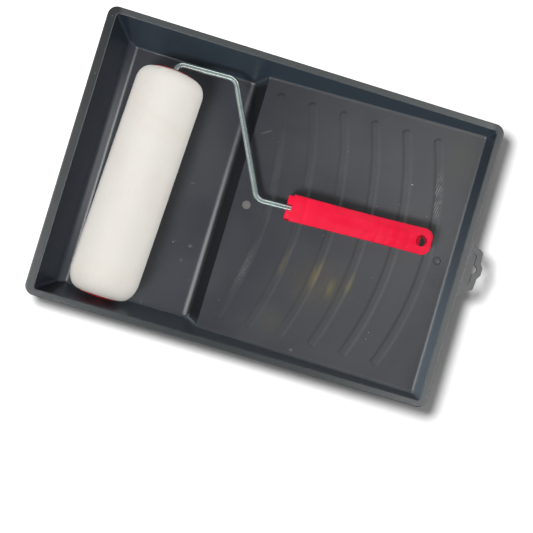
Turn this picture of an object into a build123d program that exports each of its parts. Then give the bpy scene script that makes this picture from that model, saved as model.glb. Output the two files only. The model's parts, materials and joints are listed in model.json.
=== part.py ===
from build123d import *
from math import asin, cos, radians, sin, tan
import os

os.makedirs("parts", exist_ok=True)

# Paint roller tray with its cage roller, millimetres, +Z up.
# The origin lies on the supporting surface, under the middle of the whole set.

# ---------------------------------------------------------------- tray sizes
tray_length = 405.0  # over the rim
roller_side_room = 60.0  # tray over the rim, wider than the roller's core
rim_height = 64.0  # top of the rim above the supporting surface
wall = 2.0  # moulded wall thickness
wall_draft = 9.4  # lean of all four walls, degrees
well_end_flange = 8.7
tab_end_flange = 7.6
side_flange = 6.8
rim_corner = 9.5
rim_thickness = 2.2
rim_round = 1.3
mouth_round = 1.0
lip_depth = 6.0  # turned-down edge of the rim
lip_thickness = 2.0

bevel_run = 8.5  # sloping strip between the end wall and the well floor
bevel_rise = 10.9
well_floor_length = 128.8
step_run = 12.5
step_rise = 26.1
ramp_rise = 16.8
bevel_round = 6.0
floor_round = 5.0
step_foot_round = 10.0
step_top_round = 1.0
ramp_end_round = 3.6
side_round = 2.8  # where the long walls meet the floor, step and ramp

rib_width = 9.4  # at the root
rib_height = 0.9
rib_draft = 65.0  # lean of a rib's sides, degrees
rib_round = 4.0  # crest and root
rib_end_inset = 12.8  # from the long walls, at the ramp's lower end
rib_start = 17.0  # first rib's ends, from the step's edge
rib_pitch = 33.1
rib_bulge = 18.3  # bulge of the first rib
rib_bulge_growth = 0.5  # added to each further rib
rib_last_margin = 14.0  # at least, from the last rib to the ramp's end

gate_mark_diameter = 9.0
gate_mark_depth = 0.5
gate_mark_start = 14.0
ejector_mark_diameter = 7.2
ejector_mark_depth = 0.4
ejector_mark_inset = 12.4  # from the ramp's foot at the tab end

leg_arm = 34.0
leg_thickness = 2.2
leg_inset = 6.0  # from the inside of the mouth

tab_reach = 16.6
tab_thickness = 2.0
tab_drop = 0.8  # top of the tab below the top of the rim
tab_root_width = 60.0
tab_neck_width = 49.0
tab_neck_reach = 1.2
tab_shoulder_width = 39.2
tab_shoulder_reach = 12.8
tab_notch_width = 15.0
tab_notch_reach = 13.8
tab_nose_width = 7.6
tab_round = 3.4
slot_length = 31.4
slot_width = 6.9
slot_setback = 0.9  # from the rim's outer edge
slot_lobe_diameter = 9.0
slot_lobe_reach = 3.5  # lobe beyond the slot's side

# -------------------------------------------------------------- roller sizes
foam_diameter = 70.0
foam_setback = 0.5  # foam ends inside the core's ends
foam_round_along = 16.0
foam_round_in = 10.4
core_diameter = 48.0
core_bore = 44.0
core_length = 230.0
core_fit = 0.05  # radial, foam on core

wire_diameter = 6.0
cap_running_fit = 0.08  # radial, cap on axle
cap_plug_fit = 0.2  # radial, cap in core
cap_plug_length = 14.0
cap_plug_wall = 2.4
cap_web = 3.0
cap_dome = 2.5
cap_edge = 0.8
cap_crown = 0.72  # share of the dome's height reached half way in
cap_hub_diameter = 19.0
cap_hub_length = 17.0
cap_recess_diameter = 14.0
cap_recess_depth = 7.0
stop_flange_diameter = 47.0

rod_count = 5
rod_diameter = 2.8
rod_circle = 38.4
rod_bow = 1.2
rod_socket_fit = 0.25
rod_boss_diameter = 5.2
rod_end_gap = 0.3
spreader_thickness = 3.0
spreader_fit = 0.3  # radial, hub on the axle and arm tips in the core
spreader_rod_fit = 0.1  # radial, rods in the arms
spreader_hub_diameter = 16.0
spreader_hub_length = 10.0
spreader_arm_width = 6.5

washer_diameter = 12.0
washer_thickness = 1.0
washer_fit = 0.1
end_play = 0.2
push_nut_diameter = 11.0
push_nut_thickness = 1.0
push_nut_cup_wall = 0.8
push_nut_cup_height = 1.4
axle_end_margin = 1.2
axle_end_round = 0.8
stop_ear_span = 9.4
stop_ear_thickness = 2.0
stop_ear_length = 2.0

# ------------------------------------------------------- wire frame and grip
roller_x = 70.2  # roller's middle from the rim's outer edge at the well end
roller_y = -12.6  # roller's middle from the tray's centre line
roller_yaw = 2.18  # degrees
roller_lift = 0.3  # foam above the well floor
arm_run = 60.0
arm_lead = 9.3  # straight axle between the inboard cap and the bend
arm_rise = 3.5  # side arm's far end, further out than its near end
shank_lead = 30.0  # straight shank between the last bend and the grip
shank_side = 23.4
first_bend = 8.0
second_bend = 10.0
third_bend = 11.0
grip_yaw = 4.25  # grip against the roller's square, degrees
grip_end_margin = 28.5  # from the foot of the end wall
tang_length = 78.0

grip_length = 147.0
grip_width = 27.2
grip_waist_width = 25.9
grip_waist_place = 85.0
grip_depth = 23.0
grip_draft = 6.5  # sides lean in towards the underside, degrees
collar_length = 5.2
collar_width = 23.8
collar_depth = 19.0
collar_slot_fit = 0.3  # each side of the wire
collar_round = 2.0
ferrule_length = 13.0
ferrule_round = 3.0
ferrule_valley = 1.0
ferrule_valley_length = 7.0
grip_side_round = 3.0  # upper long edges of the grip's front
grip_end_round = 9.0
grip_band = 10.5
grip_facet_drop = 3.3
grip_wedge_start = 41.0
grip_wedge_end = 52.0
groove_count = 5
groove_start = 79.5
groove_pitch = 10.2
groove_width = 3.0
groove_depth = 0.9
groove_bulge = 4.4
hang_hole_diameter = 11.0
hang_hole_margin = 10.4
grip_shell = 2.6
grip_roof = 4.5
boss_width = 10.4
boss_depth = 10.4
boss_setback = 10.2  # tang boss ends before the grip's end
grip_web = 2.0
grip_web_pitch = 30.0
grip_rest_gap = 0.3

# --------------------------------------------------------------- tray layout
tray_width = core_length + roller_side_room
left = -(tray_length + tab_reach) / 2
right = left + tray_length
middle = left + tray_length / 2
lean = tan(radians(wall_draft))
mouth_left = left + well_end_flange
mouth_right = right - tab_end_flange
mouth_half = tray_width / 2 - side_flange
overshoot = 10.0  # cutting solids run past the rim by this much

floor_top = wall
bevel_top = floor_top + bevel_rise
step_top = floor_top + step_rise
ramp_top = step_top + ramp_rise
bevel_x = mouth_left + (rim_height - bevel_top) * lean
floor_x = bevel_x + bevel_run
foot_x = floor_x + well_floor_length
edge_x = foot_x + step_run
ramp_end_x = mouth_right - (rim_height - ramp_top) * lean
ramp_run = ramp_end_x - edge_x
high = rim_height + overshoot

inside_path = [
    (mouth_left - overshoot * lean, high),
    (bevel_x, bevel_top),
    (floor_x, floor_top),
    (foot_x, floor_top),
    (edge_x, step_top),
    (ramp_end_x, ramp_top),
    (mouth_right + overshoot * lean, high),
]
inside_rounds = [bevel_round, floor_round, step_foot_round, step_top_round, ramp_end_round]

wall_half = mouth_half + wall / cos(radians(wall_draft))
split_level = rim_height - rim_thickness / 2
touch = 0.01  # tolerance for picking faces and edges by position


def side_outline(growth):
    # Side view of the space inside the tray, grown where it stands for the outside
    with BuildSketch(Plane.XZ) as outline:
        with BuildLine():
            FilletPolyline(*inside_path, radius=inside_rounds)
            Line(inside_path[-1], inside_path[0])
        make_face()
        if growth > 0:
            offset(amount=growth)
    return outline.sketch


def end_outline(half):
    # End view of the same space, between the two leaning long walls
    with BuildSketch(Plane.YZ.offset(left - overshoot)) as outline:
        with BuildLine():
            Polyline(
                (-half - overshoot * lean, high),
                (half + overshoot * lean, high),
                (half - high * lean, -overshoot),
                (high * lean - half, -overshoot),
                close=True,
            )
        make_face()
    return outline.sketch


# Space inside the tray
with BuildPart() as hollow:
    extrude(side_outline(0), amount=tray_width, both=True)
    extrude(end_outline(mouth_half), amount=tray_length + 2 * overshoot, mode=Mode.INTERSECT)
    long_walls = hollow.faces().sort_by(Axis.Y)
    seams = long_walls[0].edges() + long_walls[-1].edges()
    fillet(seams.filter_by(lambda seam: seam.center().Z < high - touch), radius=side_round)

# Outside of the same shell, one wall thickness further out
with BuildPart() as shell:
    extrude(side_outline(wall), amount=tray_width, both=True)
    extrude(end_outline(wall_half), amount=tray_length + 2 * overshoot, mode=Mode.INTERSECT)
    split(bisect_by=Plane.XY.offset(split_level), keep=Keep.BOTTOM)
    long_walls = shell.faces().sort_by(Axis.Y)
    seams = long_walls[0].edges() + long_walls[-1].edges()
    seams = seams.filter_by(lambda seam: seam.center().Z < split_level - touch)
    fillet(seams, radius=side_round + wall)

ramp_plane = Plane(
    origin=(edge_x, 0, step_top),
    x_dir=(ramp_run, 0, ramp_rise),
    z_dir=(-ramp_rise, 0, ramp_run),
)
ramp_length = (ramp_run**2 + ramp_rise**2) ** 0.5

ramp_half = mouth_half - (rim_height - step_top) * lean
rib_half = ramp_half - rib_end_inset - rib_width / 2
rib_room = ramp_length - rib_start - rib_bulge - rib_width / 2 - rib_last_margin
rib_count = 1 + int(rib_room / (rib_pitch + rib_bulge_growth))
rib_lines = []
for index in range(rib_count):
    rib_x = rib_start + index * rib_pitch
    rib_peak = rib_x + rib_bulge + index * rib_bulge_growth
    rib_lines.append(ThreePointArc((rib_x, -rib_half), (rib_peak, 0), (rib_x, rib_half)))

# One moulding: shell, rim with turned-down lip, legs, ribs and the hanging tab
with BuildPart() as tray:
    add(shell.part)
    with BuildSketch(Plane.XY.offset(rim_height)):
        with Locations((middle, 0)):
            RectangleRounded(tray_length, tray_width, rim_corner)
    extrude(amount=-rim_thickness)
    with BuildSketch(Plane.XY.offset(rim_height)):
        with Locations((middle, 0)):
            RectangleRounded(tray_length, tray_width, rim_corner)
            RectangleRounded(
                tray_length - 2 * lip_thickness,
                tray_width - 2 * lip_thickness,
                rim_corner - lip_thickness,
                mode=Mode.SUBTRACT,
            )
    extrude(amount=-lip_depth)
    leg_x = mouth_right - leg_inset
    leg_y = mouth_half - leg_inset
    with BuildSketch(Plane.XY):
        for side in (-1, 1):
            with Locations((leg_x - leg_arm / 2, side * (leg_y - leg_thickness / 2))):
                Rectangle(leg_arm, leg_thickness)
            with Locations((leg_x - leg_thickness / 2, side * (leg_y - leg_arm / 2))):
                Rectangle(leg_thickness, leg_arm)
    extrude(amount=ramp_top)
    add(hollow.part, mode=Mode.SUBTRACT)

    with BuildSketch(ramp_plane):
        for rib_line in rib_lines:
            SlotArc(rib_line, rib_width)
    extrude(amount=rib_height, taper=rib_draft)
    crests = (
        tray.faces()
        .filter_by(ramp_plane)
        .filter_by(lambda face: abs(ramp_plane.to_local_coords(face.center()).Z - rib_height) < touch)
    )
    fillet(crests.edges(), radius=rib_round)
    ramp_faces = tray.faces().filter_by(ramp_plane)
    ramp_face = ramp_faces.filter_by(
        lambda face: abs(ramp_plane.to_local_coords(face.center()).Z) < touch
    ).sort_by(SortBy.AREA)[-1]
    roots = [edge for wire in ramp_face.inner_wires() for edge in wire.edges()]
    fillet(roots, radius=rib_round)

    with BuildSketch(ramp_plane):
        with Locations((gate_mark_start, 0)):
            Circle(gate_mark_diameter / 2)
    extrude(amount=-gate_mark_depth, mode=Mode.SUBTRACT)
    with BuildSketch(ramp_plane):
        with Locations((ramp_length - ejector_mark_inset, 0)):
            Circle(ejector_mark_diameter / 2)
    extrude(amount=-ejector_mark_depth, mode=Mode.SUBTRACT)

    rim_edges = tray.edges().filter_by(
        lambda edge: abs(edge.bounding_box().min.Z - rim_height) < touch
    )
    outer_rim = rim_edges.filter_by(
        lambda edge: abs(edge.center().Y) > mouth_half + side_flange / 2
        or edge.center().X < left + well_end_flange / 2
        or edge.center().X > right - tab_end_flange / 2
    )
    fillet(outer_rim, radius=rim_round)
    mouth_edges = tray.edges().filter_by(
        lambda edge: abs(edge.bounding_box().min.Z - rim_height) < touch
    )
    mouth_edges = mouth_edges.filter_by(
        lambda edge: abs(edge.center().Y) < mouth_half + 1
        and mouth_left - 1 < edge.center().X < mouth_right + 1
    )
    fillet(mouth_edges, radius=mouth_round)

    tab_half = [
        (tab_reach, tab_nose_width / 2),
        (tab_notch_reach, tab_notch_width / 2),
        (tab_shoulder_reach, tab_shoulder_width / 2),
        (tab_neck_reach, tab_neck_width / 2),
        (-lip_thickness / 2, tab_root_width / 2),
    ]
    tab_path = [(right + reach, -side) for reach, side in reversed(tab_half)]
    tab_path += [(right + reach, side) for reach, side in tab_half]
    with BuildSketch(Plane.XY.offset(rim_height - tab_drop)):
        with BuildLine():
            FilletPolyline(*tab_path, radius=tab_round)
            Line(tab_path[-1], tab_path[0])
        make_face()
        with Locations((right + slot_setback + slot_width / 2, 0)):
            SlotOverall(slot_length, slot_width, rotation=90, mode=Mode.SUBTRACT)
        lobe_x = right + slot_setback + slot_width + slot_lobe_reach - slot_lobe_diameter / 2
        with Locations((lobe_x, 0)):
            Circle(slot_lobe_diameter / 2, mode=Mode.SUBTRACT)
    extrude(amount=-tab_thickness)
tray.part.label = "tray"
export_step(tray.part, "parts/tray.step")

# ---------------------------------------------------------- roller placement
axle_height = floor_top + roller_lift + foam_diameter / 2
axle_middle = Vector(left + roller_x, roller_y, axle_height)
axle_along = Vector(sin(radians(roller_yaw)), cos(radians(roller_yaw)), 0)
axle_square = Vector(cos(radians(roller_yaw)), -sin(radians(roller_yaw)), 0)
axle_side = Plane(origin=axle_middle, x_dir=axle_along, z_dir=axle_square)
axle_line = Axis(axle_middle, axle_along)
axle_end_on = Plane(origin=axle_middle, x_dir=axle_square, z_dir=axle_along)
cap_face = core_length / 2 + cap_edge + cap_dome  # outermost face of a cap

# Open-cell foam cover, rounded at both ends
with BuildPart() as foam_cover:
    with BuildSketch(axle_side):
        bore = core_diameter / 2 + core_fit
        skin = foam_diameter / 2
        half = core_length / 2 - foam_setback
        with BuildLine():
            Polyline((-half, bore), (half, bore), (half, skin - foam_round_in))
            EllipticalCenterArc(
                (half - foam_round_along, skin - foam_round_in),
                foam_round_along,
                foam_round_in,
                start_angle=0,
                arc_size=90,
            )
            Line((half - foam_round_along, skin), (-half + foam_round_along, skin))
            EllipticalCenterArc(
                (-half + foam_round_along, skin - foam_round_in),
                foam_round_along,
                foam_round_in,
                start_angle=90,
                arc_size=90,
            )
            Line((-half, skin - foam_round_in), (-half, bore))
        make_face()
    revolve(axis=axle_line)
foam_cover.part.label = "foam_cover"
export_step(foam_cover.part, "parts/foam_cover.step")

# Stiff tube that carries the foam
with BuildPart() as sleeve_core:
    with BuildSketch(axle_end_on.offset(-core_length / 2)):
        Circle(core_diameter / 2)
        Circle(core_bore / 2, mode=Mode.SUBTRACT)
    extrude(amount=core_length)
sleeve_core.part.label = "sleeve_core"
export_step(sleeve_core.part, "parts/sleeve_core.step")

cap_seat = core_length / 2  # plane where a cap meets the end of the core
cap_web_face = cap_seat - cap_web
cap_recess = cap_face - cap_recess_depth
cap_hub_end = cap_face - cap_hub_length
recess_radius = cap_recess_diameter / 2
plug_radius = core_bore / 2 - cap_plug_fit
hub_bore = wire_diameter / 2 + cap_running_fit
rod_radius_out = rod_circle / 2
rod_socket_depth = cap_plug_length - cap_web
rod_end = cap_web_face - rod_end_gap

# End caps: plug in the core, hub on the axle, bosses with blind sockets for the rods
cap_ways = {"outboard_cap": -1, "inboard_cap": 1}
cap_flanges = {"outboard_cap": plug_radius, "inboard_cap": stop_flange_diameter / 2}
for cap_name, way in cap_ways.items():
    cap_side = Plane(origin=axle_middle, x_dir=axle_along * way, z_dir=axle_square * way)
    cap_end_on = Plane(origin=axle_middle, x_dir=axle_square, z_dir=axle_along * way)
    with BuildPart() as cap:
        with BuildSketch(cap_side):
            with BuildLine():
                Polyline(
                    (cap_recess, hub_bore),
                    (cap_hub_end, hub_bore),
                    (cap_hub_end, cap_hub_diameter / 2),
                    (cap_web_face, cap_hub_diameter / 2),
                    (cap_web_face, plug_radius - cap_plug_wall),
                    (cap_seat - cap_plug_length, plug_radius - cap_plug_wall),
                    (cap_seat - cap_plug_length, plug_radius),
                    (cap_seat, plug_radius),
                    (cap_seat, recess_radius),
                    (cap_recess, recess_radius),
                    close=True,
                )
            make_face()
            with BuildLine():
                crown = cap_seat + cap_edge + cap_dome * cap_crown
                Polyline(
                    (cap_face, recess_radius),
                    (cap_seat, recess_radius),
                    (cap_seat, cap_flanges[cap_name]),
                    (cap_seat + cap_edge, cap_flanges[cap_name]),
                )
                ThreePointArc(
                    (cap_seat + cap_edge, cap_flanges[cap_name]),
                    (crown, (cap_flanges[cap_name] + recess_radius) / 2),
                    (cap_face, recess_radius),
                )
            make_face()
        revolve(axis=axle_line)
        with BuildSketch(cap_end_on.offset(cap_web_face)):
            with PolarLocations(rod_radius_out, rod_count):
                Circle(rod_boss_diameter / 2)
        extrude(amount=-rod_socket_depth)
        with BuildSketch(cap_end_on.offset(cap_web_face)):
            with PolarLocations(rod_radius_out, rod_count):
                Circle(rod_diameter / 2 + rod_socket_fit)
        extrude(amount=-rod_socket_depth, mode=Mode.SUBTRACT)
    cap.part.label = cap_name
    export_step(cap.part, f"parts/{cap_name}.step")

# Spring rods of the cage, bowed outwards to grip the core
for index in range(rod_count):
    turn = 360 / rod_count * index
    outwards = axle_square.rotate(axle_line, turn)
    rod_side = Plane(origin=axle_middle, x_dir=axle_along, z_dir=axle_along.cross(outwards))
    with BuildPart() as cage_rod:
        with BuildLine(rod_side) as rod_path:
            ThreePointArc(
                (-rod_end, rod_radius_out),
                (0, rod_radius_out + rod_bow),
                (rod_end, rod_radius_out),
            )
        with BuildSketch(Plane(origin=rod_path.line @ 0, z_dir=rod_path.line % 0)):
            Circle(rod_diameter / 2)
        sweep()
    cage_rod.part.label = f"cage_rod_{index + 1}"
    export_step(cage_rod.part, f"parts/cage_rod_{index + 1}.step")

# Star that holds the rods apart half way along
with BuildPart() as cage_spreader:
    with BuildSketch(axle_end_on.offset(-spreader_hub_length / 2)):
        Circle(spreader_hub_diameter / 2)
    extrude(amount=spreader_hub_length)
    with BuildSketch(axle_end_on.offset(-spreader_thickness / 2)):
        tip_middle = core_bore / 2 - spreader_fit - spreader_arm_width / 2
        with PolarLocations(tip_middle / 2, rod_count):
            Rectangle(tip_middle, spreader_arm_width)
        with PolarLocations(tip_middle, rod_count):
            Circle(spreader_arm_width / 2)
        with PolarLocations(rod_radius_out + rod_bow, rod_count):
            Circle(rod_diameter / 2 + spreader_rod_fit, mode=Mode.SUBTRACT)
    extrude(amount=spreader_thickness)
    with BuildSketch(axle_end_on.offset(-spreader_hub_length / 2)):
        Circle(wire_diameter / 2 + spreader_fit)
    extrude(amount=spreader_hub_length, mode=Mode.SUBTRACT)
cage_spreader.part.label = "cage_spreader"
export_step(cage_spreader.part, "parts/cage_spreader.step")

# Steel washers at the bottom of the cap recesses
washer_seat = cap_recess + end_play
for washer_name, way in (("outboard_washer", -1), ("inboard_washer", 1)):
    washer_plane = Plane(origin=axle_middle, x_dir=axle_square, z_dir=axle_along * way)
    with BuildPart() as washer:
        with BuildSketch(washer_plane.offset(washer_seat)):
            Circle(washer_diameter / 2)
            Circle(wire_diameter / 2 + washer_fit, mode=Mode.SUBTRACT)
        extrude(amount=washer_thickness)
    washer.part.label = washer_name
    export_step(washer.part, f"parts/{washer_name}.step")

# Spring-steel push nut that keeps the roller on the axle
nut_seat = washer_seat + washer_thickness
outboard_end_on = Plane(origin=axle_middle, x_dir=axle_square, z_dir=-axle_along)
with BuildPart() as push_nut:
    with BuildSketch(outboard_end_on.offset(nut_seat)):
        Circle(push_nut_diameter / 2)
        Circle(wire_diameter / 2, mode=Mode.SUBTRACT)
    extrude(amount=push_nut_thickness)
    with BuildSketch(outboard_end_on.offset(nut_seat + push_nut_thickness)):
        Circle(wire_diameter / 2 + push_nut_cup_wall)
        Circle(wire_diameter / 2, mode=Mode.SUBTRACT)
    extrude(amount=push_nut_cup_height)
push_nut.part.label = "push_nut"
export_step(push_nut.part, "parts/push_nut.step")

# ------------------------------------------------------- frame and grip plane
grip_end_x = ramp_end_x - grip_end_margin
grip_reach = grip_end_x - axle_middle.X
grip_start = grip_reach - grip_length
ramp_at_grip_end = step_top + (grip_end_x - edge_x) * ramp_rise / ramp_run
grip_end_height = ramp_at_grip_end + rib_height + grip_rest_gap + grip_depth / 2
frame_tilt = asin((grip_end_height - axle_height) / grip_reach)
frame_across = Vector(
    axle_square.X * cos(frame_tilt),
    axle_square.Y * cos(frame_tilt),
    sin(frame_tilt),
)
frame_plane = Plane(origin=axle_middle, x_dir=frame_across, z_dir=frame_across.cross(axle_along))
grip_lean = tan(radians(grip_yaw))
grip_side = shank_side + shank_lead * grip_lean
shank_run = grip_start - shank_lead
arm_start = cap_face + arm_lead
tang_end = grip_start + tang_length * cos(radians(grip_yaw))
axle_end = nut_seat + push_nut_thickness + push_nut_cup_height + axle_end_margin

# Bent steel wire: axle, side arm, diagonal, shank and the tang inside the grip
with BuildPart() as wire_frame:
    with BuildLine(frame_plane) as bends:
        FilletPolyline(
            (0, -axle_end),
            (0, arm_start),
            (arm_run, arm_start + arm_rise),
            (shank_run, shank_side),
            (tang_end, grip_side + (tang_end - grip_start) * grip_lean),
            radius=[first_bend, second_bend, third_bend],
        )
    with BuildSketch(Plane(origin=bends.line @ 0, z_dir=bends.line % 0)):
        Circle(wire_diameter / 2)
    sweep()
    wire_ends = wire_frame.edges().filter_by(GeomType.CIRCLE).sort_by(Axis.Y)
    fillet(wire_ends[0], radius=axle_end_round)
    ear_middle = washer_seat + washer_thickness + stop_ear_length / 2
    with BuildSketch(axle_end_on.offset(ear_middle - stop_ear_length / 2)):
        Rectangle(stop_ear_span, stop_ear_thickness)
    extrude(amount=stop_ear_length)
wire_frame.part.label = "wire_frame"
export_step(wire_frame.part, "parts/wire_frame.step")

grip_origin = frame_plane.from_local_coords(Vector(grip_start, grip_side, 0))
grip_tip = frame_plane.from_local_coords(Vector(grip_start + 1, grip_side + grip_lean, 0))
grip_plane = Plane(origin=grip_origin, x_dir=grip_tip - grip_origin, z_dir=frame_plane.z_dir)
grip_section = Plane(origin=grip_origin, x_dir=grip_plane.y_dir, z_dir=grip_plane.x_dir)
grip_profile = Plane(origin=grip_origin, x_dir=grip_plane.x_dir, z_dir=-grip_plane.y_dir)
body_length = grip_length - collar_length
top = grip_depth / 2
side = grip_width / 2
waist = grip_waist_width / 2
grip_taper = tan(radians(grip_draft))
foot_side = side - grip_depth * grip_taper
hole_x = grip_length - hang_hole_margin


def grip_outline(inset):
    # Cross-section of the faceted grip, drawn in by an inset
    with BuildSketch(grip_section.offset(collar_length)) as outline:
        with BuildLine():
            Polyline(
                (-grip_band / 2, top - inset),
                (grip_band / 2, top - inset),
                (side - inset, top - grip_facet_drop - inset),
                (side - inset, -top),
                (inset - side, -top),
                (inset - side, top - grip_facet_drop - inset),
                close=True,
            )
        make_face()
    return outline.sketch


groove_lines = []
for index in range(groove_count):
    groove_x = groove_start + index * groove_pitch
    groove_peak = (groove_x + groove_bulge, 0)
    groove_lines.append(ThreePointArc((groove_x, -side), groove_peak, (groove_x, side)))

# Space under the grip: open channel around the tang boss, the cross webs and the hang hole's collar
with BuildPart() as grip_channel:
    channel_start = collar_length + grip_shell
    channel_end = grip_length - grip_shell
    channel_length = channel_end - channel_start
    channel_depth = grip_depth - grip_roof
    channel_foot = foot_side - grip_shell
    channel_head = channel_foot + channel_depth * grip_taper
    with BuildSketch(grip_section.offset(channel_start)):
        with BuildLine():
            Polyline(
                (-channel_foot, -top),
                (channel_foot, -top),
                (channel_head, top - grip_roof),
                (-channel_head, top - grip_roof),
                close=True,
            )
        make_face()
    extrude(amount=channel_length)
    with BuildSketch(grip_plane.offset(-top)):
        with Locations((channel_start + channel_length / 2, 0)):
            RectangleRounded(channel_length, 2 * channel_head, grip_end_round - grip_shell)
    extrude(amount=channel_depth, mode=Mode.INTERSECT)
    boss_end = grip_length - boss_setback
    with BuildSketch(grip_plane.offset(-boss_depth / 2)):
        with Locations((boss_end / 2, 0)):
            Rectangle(boss_end, boss_width)
    extrude(amount=grip_depth, mode=Mode.SUBTRACT)
    with BuildSketch(grip_plane):
        with Locations((hole_x, 0)):
            Circle(hang_hole_diameter / 2 + grip_shell)
    extrude(amount=grip_depth, mode=Mode.SUBTRACT)
    web_count = int((boss_end - channel_start) / grip_web_pitch)
    with BuildSketch(grip_plane.offset(-boss_depth / 2)):
        for index in range(web_count):
            with Locations((channel_start + (index + 1) * grip_web_pitch, 0)):
                Rectangle(grip_web, grip_width)
    extrude(amount=grip_depth, mode=Mode.SUBTRACT)

# Outer layer of the faceted grip, parted by the curved finger grooves
with BuildPart() as grip_skin:
    extrude(grip_outline(0), amount=body_length)
    with BuildSketch(grip_plane):
        for groove_line in groove_lines:
            SlotArc(groove_line, groove_width)
    extrude(amount=grip_depth, mode=Mode.SUBTRACT)

# Grip: full-width front, faceted rear with finger grooves, hang hole at the end
with BuildPart() as handle:
    extrude(grip_outline(groove_depth), amount=body_length)
    add(grip_skin.part)
    with BuildSketch(grip_plane.offset(-top)):
        with BuildLine():
            Polyline(
                (collar_length, -side),
                (grip_wedge_start, -side),
                (grip_wedge_end, -grip_band / 2),
                (grip_wedge_end, grip_band / 2),
                (grip_wedge_start, side),
                (collar_length, side),
                close=True,
            )
        make_face()
    extrude(amount=grip_depth)
    with BuildSketch(grip_plane.offset(-top)) as grip_plan:
        with BuildLine():
            ThreePointArc((collar_length, -side), (grip_waist_place, -waist), (grip_length, -side))
            Line((grip_length, -side), (grip_length, side))
            ThreePointArc((grip_length, side), (grip_waist_place, waist), (collar_length, side))
            Line((collar_length, side), (collar_length, -side))
        make_face()
        fillet(grip_plan.vertices().sort_by(Axis.X)[-2:], radius=grip_end_round)
        fillet(grip_plan.vertices().sort_by(Axis.X)[:2], radius=ferrule_round)
    extrude(amount=grip_depth, mode=Mode.INTERSECT)
    with BuildSketch(grip_section.offset(collar_length)):
        with BuildLine():
            FilletPolyline(
                (-foot_side, -top),
                (-side, top),
                (side, top),
                (foot_side, -top),
                radius=grip_side_round,
            )
            Line((foot_side, -top), (-foot_side, -top))
        make_face()
    extrude(amount=body_length, mode=Mode.INTERSECT)
    with BuildSketch(grip_profile):
        valley_start = collar_length + ferrule_length - ferrule_valley_length / 2
        valley_end = valley_start + ferrule_valley_length
        with BuildLine():
            ThreePointArc(
                (valley_start, top),
                ((valley_start + valley_end) / 2, top - ferrule_valley),
                (valley_end, top),
            )
            Line((valley_end, top), (valley_start, top))
        make_face()
    extrude(amount=grip_width, both=True, mode=Mode.SUBTRACT)
    add(grip_channel.part, mode=Mode.SUBTRACT)
    with BuildSketch(grip_section):
        RectangleRounded(collar_width, collar_depth, collar_round)
    extrude(amount=collar_length)
    with BuildSketch(grip_plane):
        with Locations((collar_length / 2, 0)):
            Rectangle(collar_length, wire_diameter + 2 * collar_slot_fit)
    extrude(amount=grip_depth, mode=Mode.SUBTRACT)
    with BuildSketch(grip_section):
        Circle(wire_diameter / 2)
    extrude(amount=tang_length, mode=Mode.SUBTRACT)
    with BuildSketch(grip_plane):
        with Locations((hole_x, 0)):
            Circle(hang_hole_diameter / 2)
    extrude(amount=grip_depth, mode=Mode.SUBTRACT)
handle.part.label = "handle"
export_step(handle.part, "parts/handle.step")
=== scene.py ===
import json
from math import cos, exp, pi, radians, sin, sqrt

import bmesh
import bpy
from mathutils import Matrix, Vector, noise


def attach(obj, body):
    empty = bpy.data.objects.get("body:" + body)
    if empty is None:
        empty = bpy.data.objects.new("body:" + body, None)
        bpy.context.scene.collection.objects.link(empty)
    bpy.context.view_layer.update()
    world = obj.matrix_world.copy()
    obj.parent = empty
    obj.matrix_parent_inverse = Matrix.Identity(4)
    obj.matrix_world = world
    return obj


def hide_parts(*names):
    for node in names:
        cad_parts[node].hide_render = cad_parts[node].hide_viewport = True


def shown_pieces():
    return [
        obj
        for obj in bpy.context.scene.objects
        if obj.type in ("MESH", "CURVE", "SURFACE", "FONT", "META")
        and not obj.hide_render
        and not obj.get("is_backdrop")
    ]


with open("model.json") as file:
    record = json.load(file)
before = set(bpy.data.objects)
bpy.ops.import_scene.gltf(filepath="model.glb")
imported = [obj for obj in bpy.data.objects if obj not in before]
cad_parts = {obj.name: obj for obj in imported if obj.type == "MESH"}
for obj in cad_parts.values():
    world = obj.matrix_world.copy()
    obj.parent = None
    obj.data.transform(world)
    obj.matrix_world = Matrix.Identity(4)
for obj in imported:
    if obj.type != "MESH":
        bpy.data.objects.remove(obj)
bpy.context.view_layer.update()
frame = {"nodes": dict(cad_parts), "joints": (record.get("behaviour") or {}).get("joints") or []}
nodes = frame["nodes"]
mm = 0.001

spinJoint = next(joint for joint in frame["joints"] if joint["name"] == "roller_spin")
axleMiddle = Vector(spinJoint["pos_m"])
axleAlong = Vector(spinJoint["axis"]).normalized()
axleSquare = axleAlong.cross(Vector((0, 0, 1))).normalized()
axleFrame = Matrix((axleSquare, axleAlong, Vector((0, 0, 1)))).transposed().to_4x4()
axleFrame.translation = axleMiddle  # local Y runs along the axle


def alongAxle(name):
    steps = [(vert.co - axleMiddle).dot(axleAlong) for vert in nodes[name].data.vertices]
    return min(steps), max(steps)


def fromAxle(name):
    reaches = []
    for vert in nodes[name].data.vertices:
        offset = vert.co - axleMiddle
        reaches.append((offset - axleAlong * offset.dot(axleAlong)).length)
    return min(reaches), max(reaches)


def finishPiece(name, mesh, body, material, standsFor):
    piece = bpy.data.objects.new(name, mesh)
    bpy.context.scene.collection.objects.link(piece)
    mesh.materials.append(material)
    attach(piece, body)
    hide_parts(*standsFor)
    return piece


# Small helpers for shader trees
def place(tree, kind, inputs=None, **settings):
    node = tree.nodes.new("ShaderNode" + kind)
    for setting, value in settings.items():
        setattr(node, setting, value)
    for socket, value in (inputs or {}).items():
        if isinstance(value, bpy.types.NodeSocket):
            tree.links.new(value, node.inputs[socket])
        else:
            node.inputs[socket].default_value = value
    return node


def calc(tree, operation, first, second=0.0, clamp=False):
    node = place(tree, "Math", {0: first, 1: second}, operation=operation, use_clamp=clamp)
    return node.outputs[0]


def times(tree, first, second):
    return calc(tree, "MULTIPLY", first, second)


def most(tree, first, second):
    return calc(tree, "MAXIMUM", first, second)


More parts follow.
